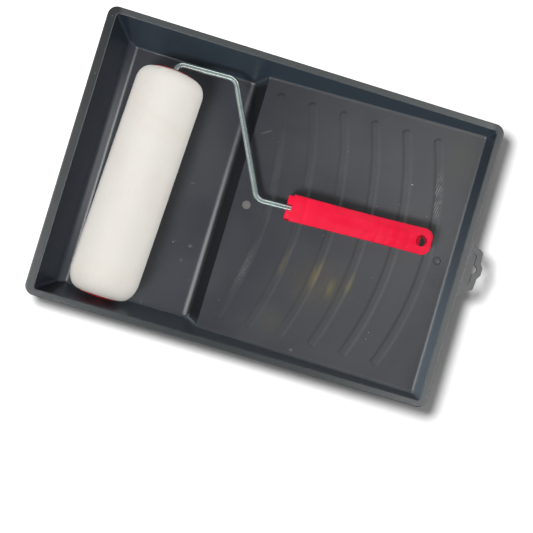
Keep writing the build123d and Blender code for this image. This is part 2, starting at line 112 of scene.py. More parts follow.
def apart(tree, first, second):
    return calc(tree, "ABSOLUTE", calc(tree, "SUBTRACT", first, second))


def alongLine(tree, value, slope, start):
    node = place(tree, "Math", {0: value, 1: slope, 2: start}, operation="MULTIPLY_ADD")
    return node.outputs[0]


def mixColour(tree, factor, first, second):
    node = place(tree, "Mix", {0: factor, 6: first, 7: second}, data_type="RGBA", blend_type="MIX")
    return node.outputs[2]


def fade(tree, value, start, end, low=0.0, high=1.0):
    inputs = {"Value": value, "From Min": start, "From Max": end, "To Min": low, "To Max": high}
    return place(tree, "MapRange", inputs, interpolation_type="SMOOTHSTEP").outputs[0]


def cloud(tree, vector, scale, detail, roughness, warp=0.0):
    inputs = {
        "Vector": vector,
        "Scale": scale,
        "Detail": detail,
        "Roughness": roughness,
        "Distortion": warp,
    }
    return place(tree, "TexNoise", inputs).outputs[0]


def stretched(tree, vector, reach, turn, centre=(0.0, 0.0, 0.0)):
    inputs = {"Vector": vector, "Location": centre, "Rotation": (0.0, 0.0, turn), "Scale": reach}
    return place(tree, "Mapping", inputs, vector_type="TEXTURE").outputs[0]


def awayFrom(tree, vector, centre):
    node = place(tree, "VectorMath", {0: vector, 1: centre}, operation="DISTANCE")
    return node.outputs["Value"]


def dotOf(tree, first, second):
    node = place(tree, "VectorMath", {0: first, 1: second}, operation="DOT_PRODUCT")
    return node.outputs["Value"]


def awayFromStart(tree, vector):
    return place(tree, "VectorMath", {0: vector}, operation="LENGTH").outputs["Value"]


# A soft spot: place and reach in millimetres, turn in degrees, and how much of it is full
def spot(tree, vector, centre, reach, turn, core):
    centre, reach = [tuple(value * mm for value in triple) for triple in (centre, reach)]
    inside = stretched(tree, vector, reach, radians(turn), centre)
    return fade(tree, awayFromStart(tree, inside), core, 1.0, 1.0, 0.0)


def linkBump(tree, shader, relief, strength, depth):
    bump = place(tree, "Bump", {"Height": relief, "Strength": strength, "Distance": depth})
    tree.links.new(bump.outputs[0], shader.inputs["Normal"])


def startMaterial(name):
    material = bpy.data.materials.new(name)
    material.use_nodes = True
    tree = material.node_tree
    shader = next(node for node in tree.nodes if node.type == "BSDF_PRINCIPLED")
    where = place(tree, "TexCoord").outputs["Object"]
    return material, tree, shader, where


# Every group takes a vector and some values, and puts out values
def startGroup(name, values, outputs):
    group = bpy.data.node_groups.new(name, "ShaderNodeTree")
    group.interface.new_socket("Vector", in_out="INPUT", socket_type="NodeSocketVector")
    for label, value in values.items():
        socket = group.interface.new_socket(label, in_out="INPUT", socket_type="NodeSocketFloat")
        socket.default_value = value
    for label in outputs:
        group.interface.new_socket(label, in_out="OUTPUT", socket_type="NodeSocketFloat")
    return group, group.nodes.new("NodeGroupInput"), group.nodes.new("NodeGroupOutput")


def useGroup(tree, group, inputs):
    return place(tree, "Group", inputs, node_tree=group).outputs


# Flecks of dust: small dots, sparse and of uneven size
def makeFleckGroup():
    values = {"Spacing": 100.0, "Size": 0.1, "Share": 0.2}
    group, start, end = startGroup("dustFlecks", values, ["Mask", "Pick"])
    spread = {"Vector": start.outputs["Vector"], "Scale": start.outputs["Spacing"]}
    cell = place(group, "TexVoronoi", spread)
    pick = place(group, "SeparateColor", {0: cell.outputs["Color"]})
    chosen = calc(group, "LESS_THAN", pick.outputs[0], start.outputs["Share"])
    reach = times(group, calc(group, "ADD", pick.outputs[1], 0.35), start.outputs["Size"])
    dot = calc(group, "LESS_THAN", cell.outputs["Distance"], reach)
    group.links.new(times(group, chosen, dot), end.inputs["Mask"])
    group.links.new(pick.outputs[2], end.inputs["Pick"])
    return group


# Rubbed marks: thin broken lines along one direction of the vector handed in
def makeScuffGroup():
    values = {"Scale": 100.0, "Patch": 20.0, "Share": 0.5}
    group, start, end = startGroup("rubMarks", values, ["Mask"])
    vector = start.outputs["Vector"]
    lines = cloud(group, vector, start.outputs["Scale"], 4.0, 0.65)
    patch = cloud(group, vector, start.outputs["Patch"], 2.0, 0.5)
    level = calc(group, "SUBTRACT", 1.0, times(group, start.outputs["Share"], 0.5))
    lineMask = fade(group, lines, 0.52, 0.68)
    patchMask = fade(group, patch, calc(group, "SUBTRACT", level, 0.2), level)
    group.links.new(times(group, lineMask, patchMask), end.inputs["Mask"])
    return group


# Moulded surface: fine spark grain over a slow ripple
def makeGrainGroup():
    values = {"Grain": 2000.0, "Ripple": 60.0, "Share": 0.3}
    group, start, end = startGroup("mouldedGrain", values, ["Height"])
    vector = start.outputs["Vector"]
    grain = cloud(group, vector, start.outputs["Grain"], 2.0, 0.6)
    ripple = cloud(group, vector, start.outputs["Ripple"], 1.0, 0.4)
    height = calc(group, "ADD", times(group, grain, start.outputs["Share"]), ripple)
    group.links.new(height, end.inputs["Height"])
    return group


# Worn edges: where the rounded normal parts from the true one, broken up by noise
def makeEdgeGroup():
    values = {"Radius": 0.001, "Break": 300.0}
    group, start, end = startGroup("edgeRub", values, ["Mask"])
    rounded = place(group, "Bevel", {"Radius": start.outputs["Radius"]}, samples=4).outputs[0]
    unrounded = place(group, "NewGeometry").outputs["Normal"]
    match = dotOf(group, rounded, unrounded)
    edge = fade(group, calc(group, "SUBTRACT", 1.0, match), 0.01, 0.12)
    breakUp = cloud(group, start.outputs["Vector"], start.outputs["Break"], 3.0, 0.6)
    group.links.new(times(group, edge, fade(group, breakUp, 0.35, 0.6)), end.inputs["Mask"])
    return group


dustFlecks = makeFleckGroup()
rubMarks = makeScuffGroup()
mouldedGrain = makeGrainGroup()
edgeRub = makeEdgeGroup()
print("stage: shader groups made")


def edgeMask(tree, where, look):
    return useGroup(tree, edgeRub, {"Vector": where, **look["edges"]})[0]


def rubMask(tree, where, stretch, turn, look):
    vector = stretched(tree, where, stretch, turn)
    return useGroup(tree, rubMarks, {"Vector": vector, **look["scuffs"]})[0]


def grainBump(tree, shader, where, look):
    relief = useGroup(tree, mouldedGrain, {"Vector": where, **look["grain"]})[0]
    linkBump(tree, shader, relief, 0.3, look["grainDepth"])


def unevenRoughness(tree, where, look, scale, detail=4.0, roughness=0.6):
    return fade(tree, cloud(tree, where, scale, detail, roughness), 0.3, 0.75, *look["roughness"])


trayLook = {
    "plastic": (0.0165, 0.0182, 0.0230, 1.0),
    # the paler tone: the far end of the random drift, and painted light towards the tab, the far
    # side and over the ramp
    "paleDriftAndLight": (0.051, 0.0525, 0.0555, 1.0),
    # painted shade on the ribs' ends and sides
    "ribShade": (0.009, 0.010, 0.012, 1.0),
    # painted shade: the tab darker than the pale tone beside it
    "tab": (0.026, 0.027, 0.028, 1.0),
    # wall tones are painted light and shade: the near wall lighter, the far and end walls darker
    "farWallShade": (0.0165, 0.025, 0.034, 1.0),
    "nearWallLight": (0.080, 0.100, 0.118, 1.0),
    "endWallShade": (0.0105, 0.015, 0.022, 1.0),
    "outer": (0.020, 0.023, 0.028, 1.0),
    # painted shade: the step's face near black
    "stepShade": (0.006, 0.007, 0.009, 1.0),
    # painted highlight on the bevel strip at the well's end
    "bevel": (0.072, 0.075, 0.081, 1.0),
    "flange": (0.041, 0.045, 0.046, 1.0),
    # painted shade: the rim darker along its near side and at its ends
    "nearFlangeShade": (0.016, 0.019, 0.020, 1.0),
    "endFlangeShade": (0.0155, 0.0175, 0.0185, 1.0),
    # pale tone of rubbed marks and smears, and of the painted highlights on the rib crests
    "rubbedAndHighlight": (0.17, 0.17, 0.165, 1.0),
    "dust": (0.55, 0.52, 0.48, 1.0),
    "pinkDust": (0.6, 0.18, 0.13, 1.0),
    "smudge": (0.098, 0.082, 0.038, 1.0),
    "gateColour": (0.095, 0.090, 0.086, 1.0),
    "ringColour": (0.012, 0.013, 0.015, 1.0),
    # the moulding's own places, in metres
    "rampStart": (-0.04384, 0.0281),  # edge of the step, X and Z
    "rampEnd": (0.18344, 0.0449),
    "ribHeight": 0.9 * mm,
    "stepSpan": (-0.0640, -0.0425),
    "bevelSpan": (-0.1925, -0.1850),
    "middleX": -0.0083,
    "rimLevel": 0.0640,
    "mouthHalf": 0.1382,
    "wallLean": 0.1655,
    "flangeLevel": 0.0632,
    "tabStart": 0.1950,
    "gatePlace": (-0.02987, 0.0, 0.0289),
    "gateRadius": 4.4 * mm,
    "ejector": (0.1700, 0.0, 0.0439),
    "ejectorRadius": 3.6 * mm,
    # where tones pass into each other: start and end, and for some the levels there
    # painted light: where the tray pales across it and along it towards the tab
    "paintedLightAcross": (-0.10, 0.11, 0.25, 1.0),
    "paintedLightAlong": (-0.06, 0.18, 0.0, 0.95),
    "stepSides": (0.122, 0.126),
    "wallSpan": (-0.12, 0.12),
    "bevelHighlightSides": ((0.04, 0.125, 1.0, 0.15), (-0.11, -0.02, 0.3, 1.0)),
    "nearRim": (-0.138, -0.130),
    "endRim": (0.188, 0.194),  # from the middle
    # where the painted rib shade reaches the ribs' other sides
    "nearRibShade": (-0.085, -0.030, 0.8, 0.0),
    "roughness": (0.285, 0.34),
    "rampRoughness": 0.50,
    "outsideRoughness": 0.60,
    "gloss": (0.40, 0.08, 0.14),  # specular level inside, on the ramp and outside
    "grain": {"Grain": 2600.0, "Ripple": 70.0, "Share": 0.05},
    "grainDepth": 0.4 * mm,
    "edges": {"Radius": 1.0 * mm, "Break": 220.0},
    "scuffs": {"Scale": 900.0, "Patch": 24.0, "Share": 0.72},
    "strokes": {"Scale": 150.0, "Distortion": 0.5, "Detail": 1.0},
    "strokeSlant": radians(-9.0),
    "crumbScale": 1000.0,
    "flecks": {"Spacing": 74.0, "Size": 0.034, "Share": 0.36},
    "fineFlecks": {"Spacing": 170.0, "Size": 0.07, "Share": 0.12},
    # strength of each kind of mark
    "fleckLevels": (0.6, 0.25),
    "pinkShare": 0.38,
    "scratchLevel": 0.5,
    "scuffLevel": 0.02,
    "edgeLevel": 0.12,
    # dried film, and last a faint yellowish tinge at the far end of the ramp: place and reach in
    # millimetres, turn in degrees, strength
    "films": (
        ((57.0, -48.0, 36.0), (6.0, 21.0, 9.0), -9.0, 0.66),
        ((75.0, -57.0, 37.0), (5.5, 17.0, 9.0), -9.0, 0.62),
        ((92.0, -48.0, 38.0), (5.0, 17.0, 9.0), -9.0, 0.58),
        ((23.0, -44.0, 33.0), (3.6, 24.0, 9.0), -10.0, 0.50),
        ((28.0, -106.0, 34.0), (28.0, 24.0, 12.0), -20.0, 0.12),
        ((62.0, -56.0, 36.0), (50.0, 44.0, 16.0), -9.0, 0.18),
        # a faint yellowish tinge at the far end of the ramp
        ((166.0, 106.0, 43.0), (26.0, 42.0, 16.0), 0.0, 0.10),
    ),
    # rubbed stretches of the ribs: the same, then share of crumbs and of slanting strokes
    "worn": (
        ((-14.0, -62.0, 31.0), (7.0, 34.0, 9.0), -20.0, 1.0, 0.0),
        ((-27.0, -90.0, 31.0), (6.0, 16.0, 9.0), -24.0, 0.6, 0.0),
        ((154.0, 62.0, 42.0), (9.0, 36.0, 9.0), 8.0, 0.3, 1.0),
        ((52.0, 52.0, 35.0), (6.0, 46.0, 9.0), 2.0, 0.7, 0.0),
        ((86.0, 52.0, 37.0), (6.0, 46.0, 9.0), 4.0, 0.5, 0.05),
        ((116.0, 70.0, 40.0), (6.0, 34.0, 9.0), 4.0, 0.35, 0.05),
        ((18.0, 20.0, 33.0), (6.0, 40.0, 9.0), -2.0, 0.5, 0.0),
        ((137.0, -46.0, 41.0), (8.0, 44.0, 9.0), -14.0, 0.25, 0.35),
    ),
    # soft pale smears, given as the films are; the last three, long and narrow on the ribs, are
    # painted highlights along their crests
    "smearsAndRibHighlights": (
        ((-89.6, 8.3, 2.0), (4.2, 0.9, 3.0), 15.0, 0.30),
        ((-90.2, -55.0, 2.0), (2.6, 1.6, 3.0), 0.0, 0.16),
        ((-73.8, -55.6, 2.0), (3.4, 2.4, 3.0), 20.0, 0.34),
        ((-78.6, -72.3, 2.0), (2.2, 2.8, 3.0), 0.0, 0.24),
        ((-101.0, -76.8, 2.0), (1.3, 1.3, 3.0), 0.0, 0.30),
        ((-64.7, -89.9, 2.0), (1.1, 1.1, 3.0), 0.0, 0.55),
        ((54.2, -127.8, 35.3), (3.0, 2.2, 3.0), 0.0, 0.45),
        ((-10.0, 35.0, 32.0), (4.5, 60.0, 9.0), 6.0, 0.08),
        ((-14.0, -62.0, 31.0), (4.5, 44.0, 9.0), -10.0, 0.12),
        ((24.0, 30.0, 34.0), (4.0, 50.0, 9.0), 5.0, 0.06),
    ),
    "scratch": ((-31.0, 77.0, 29.0), (8.0, 0.45, 4.0), 32.0),
    # a small pale dot in the ejector mark
    "ejectorDot": ((171.4, -0.6, 43.9), (0.9, 0.9, 5.0), 0.0),  # in the ejector mark
}


def trayTones(tree, where, look):
    acrossX, acrossY, height = place(tree, "SeparateXYZ", {0: where}).outputs
    normal = place(tree, "NewGeometry").outputs["Normal"]
    tiltX, tiltY, upward = place(tree, "SeparateXYZ", {0: normal}).outputs
    startX, startZ = look["rampStart"]
    endX, endZ = look["rampEnd"]
    slope = (endZ - startZ) / (endX - startX)
    above = calc(tree, "SUBTRACT", height, alongLine(tree, acrossX, slope, startZ - slope * startX))
    onRamp = fade(tree, acrossX, startX - 3 * mm, startX - 1 * mm)
    crest = fade(tree, above, 0.45 * look["ribHeight"], 0.95 * look["ribHeight"])
    crestEnd = fade(tree, above, 1.1 * look["ribHeight"], 1.6 * look["ribHeight"], 1.0, 0.0)
    crest = times(tree, times(tree, crest, crestEnd), onRamp)

    # slow random drift of the moulding's colour, with painted light: paler towards the tab, towards
    # the far side and over the ramp
    drift = fade(tree, cloud(tree, where, 11.0, 3.0, 0.55, 0.4), 0.32, 0.7)
    across = fade(tree, acrossY, *look["paintedLightAcross"])
    along = times(tree, fade(tree, acrossX, *look["paintedLightAlong"]), across)
    pale = calc(tree, "ADD", times(tree, drift, 0.25), along)
    pale = calc(tree, "ADD", pale, times(tree, onRamp, 0.10), clamp=True)
    colour = mixColour(tree, pale, look["plastic"], look["paleDriftAndLight"])

    # walls inside the tray carry painted light and shade: lighter towards the near wall, darker
    # towards the far wall and on the well's end wall, and the step's face near black; all that
    # faces outwards or lies under the ramp keeps a plain tone
    steep = fade(tree, upward, 0.52, 0.86, 1.0, 0.0)
    stepMiddle = sum(look["stepSpan"]) / 2
    stepHalf = (look["stepSpan"][1] - look["stepSpan"][0]) / 2
    fromStep = apart(tree, acrossX, stepMiddle)
    onSide = fade(tree, calc(tree, "ABSOLUTE", acrossY), *look["stepSides"])
    offStep = most(tree, fade(tree, fromStep, stepHalf, stepHalf + 1 * mm), onSide)
    wallTone = mixColour(
        tree, fade(tree, acrossY, *look["wallSpan"]), look["nearWallLight"], look["farWallShade"]
    )
    atEnd = calc(tree, "LESS_THAN", acrossX, look["bevelSpan"][1])
    wallTone = mixColour(tree, atEnd, wallTone, look["endWallShade"])
    outward = dotOf(tree, normal, where)
    under = times(tree, onRamp, calc(tree, "LESS_THAN", above, -1 * mm))
    under = times(tree, under, offStep)
    hidden = most(tree, calc(tree, "GREATER_THAN", outward, 0.05), under)
    outside = times(tree, steep, hidden)
    wallTone = mixColour(tree, outside, wallTone, look["outer"])
    wallTone = mixColour(tree, offStep, look["stepShade"], wallTone)
    colour = mixColour(tree, steep, colour, wallTone)

    # painted highlight on the bevel at the well's end, fading along it; then the rim and the tab,
    # both with painted shade
    bevelTop, bevelFoot = look["bevelSpan"]
    bevelHighlight = fade(tree, acrossX, bevelTop, bevelTop + 2.5 * mm)
    overFoot = fade(tree, acrossX, bevelFoot - 0.5 * mm, bevelFoot + 1 * mm, 1.0, 0.0)
    bevelHighlight = times(tree, bevelHighlight, overFoot)
    for side in look["bevelHighlightSides"]:
        bevelHighlight = times(tree, bevelHighlight, fade(tree, acrossY, *side))
    colour = mixColour(tree, bevelHighlight, colour, look["bevel"])
    # painted shade: the rim darker along its near side and at both ends
    nearSide = fade(tree, acrossY, *look["nearRim"], 1.0, 0.0)
    flangeTone = mixColour(tree, nearSide, look["flange"], look["nearFlangeShade"])
    atRimEnd = fade(tree, apart(tree, acrossX, look["middleX"]), *look["endRim"])
    flangeTone = mixColour(tree, atRimEnd, flangeTone, look["endFlangeShade"])
    flat = fade(tree, upward, 0.5, 0.85)
    onFlange = times(tree, calc(tree, "GREATER_THAN", height, look["flangeLevel"]), flat)
    colour = mixColour(tree, onFlange, colour, flangeTone)
    # painted shade: the tab is darker than the paler ramp end beside it
    onTab = calc(tree, "GREATER_THAN", acrossX, look["tabStart"])
    colour = mixColour(tree, onTab, colour, look["tab"])

    # painted shade on the ramp: darker on the ribs' ends and on their sides facing the well, and
    # towards the near side on their other sides too
    turned = most(tree, times(tree, tiltX, -1.0), calc(tree, "ABSOLUTE", tiltY))
    nearHalf = fade(tree, acrossY, *look["nearRibShade"])
    turned = most(tree, turned, times(tree, tiltX, nearHalf))
    ribShade = times(tree, fade(tree, turned, 0.15, 0.42, 0.0, 0.42), onRamp)
    ribShade = times(tree, ribShade, fade(tree, upward, 0.80, 0.88))
    colour = mixColour(tree, ribShade, colour, look["ribShade"])

    # the ramp is matt, up to the foot of the walls round it
    wallFoot = alongLine(
        tree, height, look["wallLean"], look["mouthHalf"] - look["rimLevel"] * look["wallLean"]
    )
    inwards = calc(tree, "SUBTRACT", wallFoot, calc(tree, "ABSOLUTE", acrossY))
    matt = times(tree, onRamp, fade(tree, upward, 0.3, 0.7))
    matt = times(tree, matt, fade(tree, inwards, 1.5 * mm, 4.0 * mm))
    matt = times(tree, matt, fade(tree, acrossX, endX - 4.5 * mm, endX - 2 * mm, 1.0, 0.0))
    return colour, onRamp, crest, outside, matt


def trayRub(tree, where, look, onRamp, crest):
    # crumbs and short slanting strokes on the crests
    slanted = stretched(tree, where, (1.0, 1.0, 1.0), look["strokeSlant"])
    stripes = place(tree, "TexWave", {"Vector": slanted, **look["strokes"]}).outputs["Fac"]
    strokes = fade(tree, stripes, 0.72, 0.95)
    strokes = times(tree, strokes, fade(tree, cloud(tree, where, 170.0, 2.0, 0.5), 0.34, 0.56))
    crumbs = fade(tree, cloud(tree, where, look["crumbScale"], 2.0, 0.5), 0.62, 0.70)
    rub = 0.0
    for centre, reach, turn, crumbShare, strokeShare in look["worn"]:
        patch = spot(tree, where, centre, reach, turn, 0.2)
        marks = most(tree, times(tree, crumbs, crumbShare), times(tree, strokes, strokeShare))
        rub = most(tree, times(tree, patch, marks), rub)
    rub = times(tree, rub, most(tree, crest, 0.1))

    # one long scratch, faint scuffs all over and rubbed edges off the ramp
    scratch = spot(tree, where, *look["scratch"], 0.5)
    rub = most(tree, rub, times(tree, scratch, look["scratchLevel"]))
    scuffs = rubMask(tree, where, (9.0, 1.0, 1.0), 0.5, look)
    rub = most(tree, rub, times(tree, scuffs, look["scuffLevel"]))
    offRamp = fade(tree, onRamp, 0.0, 1.0, look["edgeLevel"], 0.0)
    return most(tree, rub, times(tree, edgeMask(tree, where, look), offRamp))


def trayPlastic():
    look = trayLook
    material, tree, shader, where = startMaterial("anthracitePlastic")
    colour, onRamp, crest, outside, matt = trayTones(tree, where, look)

    # dried film, smears and painted highlights on the rib crests, broken into streaks along the
    # ribs
    alongRibs = stretched(tree, where, (1.0, 7.0, 1.0), -0.15)
    streak = fade(tree, cloud(tree, alongRibs, 300.0, 4.0, 0.6), 0.3, 0.62)
    broken = calc(tree, "ADD", times(tree, streak, 0.6), 0.4)
    for kind, tone, core in (("films", "smudge", 0.0), ("smearsAndRibHighlights", "rubbedAndHighlight", 0.1)):
        for centre, reach, turn, strength in look[kind]:
            markAndHighlight = times(tree, spot(tree, where, centre, reach, turn, core), strength)
            colour = mixColour(tree, times(tree, markAndHighlight, broken), colour, look[tone])
    rub = trayRub(tree, where, look, onRamp, crest)
    colour = mixColour(tree, rub, colour, look["rubbedAndHighlight"])

    # gate mark and ejector mark
    gateAway = awayFrom(tree, where, look["gatePlace"])
    gate = fade(tree, gateAway, look["gateRadius"] * 0.86, look["gateRadius"] * 1.04, 1.0, 0.0)
    colour = mixColour(tree, gate, colour, look["gateColour"])
    ring = apart(tree, awayFrom(tree, where, look["ejector"]), look["ejectorRadius"])
    ring = fade(tree, ring, 0.3 * mm, 0.9 * mm, 0.7, 0.0)
    colour = mixColour(tree, ring, colour, look["ringColour"])
    # a small pale dot in the ejector mark
    ejectorDot = spot(tree, where, *look["ejectorDot"], 0.3)
    colour = mixColour(tree, ejectorDot, colour, look["rubbedAndHighlight"])

    fleckLevel, fineLevel = look["fleckLevels"]
    flecks, pick = useGroup(tree, dustFlecks, {"Vector": where, **look["flecks"]})
    isPink = calc(tree, "GREATER_THAN", pick, 1.0 - look["pinkShare"])
    fleckColour = mixColour(tree, isPink, look["dust"], look["pinkDust"])
    colour = mixColour(tree, times(tree, flecks, fleckLevel), colour, fleckColour)
    fine = useGroup(tree, dustFlecks, {"Vector": where, **look["fineFlecks"]})[0]
    colour = mixColour(tree, times(tree, fine, fineLevel), colour, look["dust"])
    tree.links.new(colour, shader.inputs["Base Color"])

    rough = unevenRoughness(tree, where, look, 9.0, 2.0, 0.5)
    rough = most(tree, rough, times(tree, matt, look["rampRoughness"]))
    rough = most(tree, rough, times(tree, outside, look["outsideRoughness"]))
    rough = calc(tree, "ADD", rough, times(tree, rub, 0.2), clamp=True)
    tree.links.new(rough, shader.inputs["Roughness"])
    grainBump(tree, shader, where, look)
    inside, ramp, outer = look["gloss"]
    gloss = fade(tree, matt, 0.0, 1.0, inside, ramp)
    gloss = calc(tree, "MINIMUM", gloss, fade(tree, outside, 0.0, 1.0, inside, outer))
    shader.inputs["Specular IOR Level"].default_value = outer  # stands where the link is dropped
    tree.links.new(gloss, shader.inputs["Specular IOR Level"])
    return material


gripLook = {
    "base": (0.84, 0.004, 0.040, 1.0),
    "drift": (0.90, 0.024, 0.064, 1.0),
    "roughness": (0.34, 0.46),
}
capLook = {
    "base": (0.40, 0.020, 0.020, 1.0),
    "drift": (0.36, 0.018, 0.02, 1.0),
    "roughness": (0.28, 0.4),
}
redSurface = {
    "edges": {"Radius": 0.9 * mm, "Break": 260.0},
    "scuffs": {"Scale": 1300.0, "Patch": 60.0, "Share": 0.9},
    "grain": {"Grain": 3200.0, "Ripple": 140.0, "Share": 0.06},
    "grainDepth": 0.25 * mm,
    "gloss": 0.18,
}


def redPlastic(name, look):
    material, tree, shader, where = startMaterial(name)
    drift = fade(tree, cloud(tree, where, 45.0, 3.0, 0.55), 0.35, 0.7)
    colour = mixColour(tree, times(tree, drift, 0.45), look["base"], look["drift"])
    edge = edgeMask(tree, where, redSurface)
    colour = mixColour(tree, times(tree, edge, 0.2), colour, look["drift"])
    tree.links.new(colour, shader.inputs["Base Color"])
    marks = rubMask(tree, where, (7.0, 1.0, 1.0), 0.0, redSurface)
    rough = unevenRoughness(tree, where, look, 90.0)
    rough = calc(tree, "ADD", rough, times(tree, marks, 0.12), clamp=True)
    tree.links.new(rough, shader.inputs["Roughness"])
    shader.inputs["Specular IOR Level"].default_value = redSurface["gloss"]
    grainBump(tree, shader, where, redSurface)
    return material


wireLook = {
    "base": (0.47, 0.55, 0.52, 1.0),
    "dull": (0.38, 0.45, 0.43, 1.0),
    "bright": (0.70, 0.76, 0.73, 1.0),
    "roughness": (0.15, 0.20),
}
rodLook = {
    "base": (0.5, 0.5, 0.5, 1.0),
    "dull": (0.36, 0.35, 0.34, 1.0),
    "bright": (0.7, 0.7, 0.68, 1.0),
    "roughness": (0.3, 0.45),
}
platedSpots = {"Spacing": 420.0, "Size": 0.2, "Share": 0.25}


def platedSteel(name, look):
    material, tree, shader, where = startMaterial(name)
    patches = fade(tree, cloud(tree, where, 160.0, 4.0, 0.6), 0.35, 0.7)
    colour = mixColour(tree, patches, look["base"], look["dull"])
    spots = useGroup(tree, dustFlecks, {"Vector": where, **platedSpots})[0]
    colour = mixColour(tree, times(tree, spots, 0.12), colour, look["bright"])
    tree.links.new(colour, shader.inputs["Base Color"])
    shader.inputs["Metallic"].default_value = 0.8
    tree.links.new(unevenRoughness(tree, where, look, 500.0), shader.inputs["Roughness"])
    drawn = cloud(tree, where, 1400.0, 3.0, 0.6)
    linkBump(tree, shader, drawn, 0.02, 0.01 * mm)
    return material


foamLook = {
    "foam": (0.695, 0.670, 0.628, 1.0),
    "warm": (0.67, 0.63, 0.56, 1.0),
    "stain": (0.66, 0.58, 0.48, 1.0),
    # painted shade in the foam's pores
    "poreShade": (0.55, 0.51, 0.44, 1.0),
    # cut ends: their own tone and painted shade
    "cutEndAndShade": (0.54, 0.505, 0.45, 1.0),
    "cells": 900.0,
    "fuzz": 2600.0,
    "roughness": 0.95,
    "sheen": 0.15,
    "gloss": 0.2,
}


def foamFlesh():
    look = foamLook
    material, tree, shader, where = startMaterial("foamFlesh")
    drift = fade(tree, cloud(tree, where, 22.0, 4.0, 0.55, 0.5), 0.38, 0.68)
    colour = mixColour(tree, times(tree, drift, 0.5), look["foam"], look["warm"])
    blots = fade(tree, cloud(tree, where, 55.0, 3.0, 0.6, 0.8), 0.62, 0.78)
    colour = mixColour(tree, times(tree, blots, 0.25), colour, look["stain"])
    # painted shade in the foam's open cells, darker at the middle of each cell
    cells = place(tree, "TexVoronoi", {"Vector": where, "Scale": look["cells"]}).outputs["Distance"]
    poreShadeMask = fade(tree, cells, 0.12, 0.42, 1.0, 0.0)
    colour = mixColour(tree, times(tree, poreShadeMask, 0.10), colour, look["poreShade"])
    # the cut ends are darker than the skin: partly the cut foam's own tone, partly painted shade on
    # the end faces
    facing = place(tree, "TexCoord").outputs["Normal"]
    endwise = calc(tree, "ABSOLUTE", place(tree, "SeparateXYZ", {0: facing}).outputs["Y"])
    colour = mixColour(tree, fade(tree, endwise, 0.90, 0.985), colour, look["cutEndAndShade"])
    tree.links.new(colour, shader.inputs["Base Color"])
    shader.inputs["Roughness"].default_value = look["roughness"]
    shader.inputs["Sheen Weight"].default_value = look["sheen"]
    shader.inputs["Specular IOR Level"].default_value = look["gloss"]
    fuzz = cloud(tree, where, look["fuzz"], 3.0, 0.7)
    relief = calc(tree, "ADD", times(tree, cells, 0.8), times(tree, fuzz, 0.5))
    linkBump(tree, shader, relief, 0.5, 0.35 * mm)
    return material


milkyLook = {
    "base": (0.72, 0.71, 0.66, 1.0),
    "drift": (0.80, 0.79, 0.75, 1.0),
    "roughness": (0.38, 0.55),
    "grain": {"Grain": 2600.0, "Ripple": 200.0, "Share": 0.1},
    "grainDepth": 0.2 * mm,
}


def plainPlastic(name, look):
    material, tree, shader, where = startMaterial(name)
    drift = fade(tree, cloud(tree, where, 80.0, 3.0, 0.55), 0.35, 0.7)
    tree.links.new(mixColour(tree, drift, look["base"], look["drift"]), shader.inputs["Base Color"])
    tree.links.new(unevenRoughness(tree, where, look, 200.0), shader.inputs["Roughness"])
    grainBump(tree, shader, where, look)
    return material


anthracite = trayPlastic()
gripRed = redPlastic("gripRed", gripLook)
capRed = redPlastic("capRed", capLook)
wireZinc = platedSteel("wireZinc", wireLook)
rodSteel = platedSteel("rodSteel", rodLook)
milkyPlastic = plainPlastic("milkyPlastic", milkyLook)
foamBody = foamFlesh()
print("stage: materials made")


# Grip: moulded shell, faceted behind a plain front, with curved finger grooves
gripAlong = Vector((0.997457, 0.036192, 0.061391)).normalized()
gripUp = Vector((-0.061515, 0.002342, 0.998103)).normalized()
gripFrame = Matrix((gripAlong, gripUp.cross(gripAlong), gripUp)).transposed().to_4x4()
gripFrame.translation = Vector((8.5239, 7.3713, 46.4440)) * mm  # middle of the wire, at the lugs
grip = {
    "length": 147.0 * mm,
    "half": 13.6 * mm,
    "waist": 12.95 * mm,
    "waistPlace": 85.0 * mm,
    "taper": 0.1139,  # sides lean in towards the underside
    "top": 11.5 * mm,  # half the depth
    "front": 5.2 * mm,  # behind the two lugs
    "stations": 330,  # rings between the rounded ends
    "cornerSteps": 30,
    "sectionSteps": 104,
    "shares": (0.56, 0.74, 0.94),  # how far round the top, its corner and the side end
    "round": 1.7 * mm,
    "endCorner": 9.0 * mm,
    "endRound": 1.5 * mm,
    "frontCorner": 1.2 * mm,
    "frontRound": 0.9 * mm,
    "facetSlope": 0.28,
    "facetHalf": 5.25 * mm,
    "wedge": (41.0 * mm, 52.0 * mm),
    "crease": 0.45 * mm,
    "valley": (18.4 * mm, 3.2 * mm, 0.75 * mm),  # place, half width, depth
    "grooves": 5,
    "grooveStart": 79.5 * mm,
    "groovePitch": 10.2 * mm,
    "grooveBulge": 4.4 * mm,
    "grooveDepth": 0.45 * mm,
    "grooveWidth": 1.5 * mm,
    "ridge": 0.08 * mm,
    "ridgeSetback": 2.4 * mm,
    "shell": 2.6 * mm,
    "roof": 4.5 * mm,
    "boss": (5.2 * mm, 136.8 * mm),  # half width and end
    "webs": (37.8 * mm, 67.8 * mm, 97.8 * mm, 127.8 * mm),
    "web": 2.0 * mm,
    "hole": (136.6 * mm, 5.5 * mm),  # place and radius
    "bore": (78.0 * mm, 3.03 * mm),  # length and radius
    "lug": (23.8 * mm, 19.0 * mm, 1.28 * mm),  # width, depth and edge
    "slot": 6.6 * mm,
    "channel": (8.38 * mm, 10.49 * mm, 6.4 * mm),  # half width below and above, corner
}


def bell(value, width):
    return exp(-((value / width) ** 2))


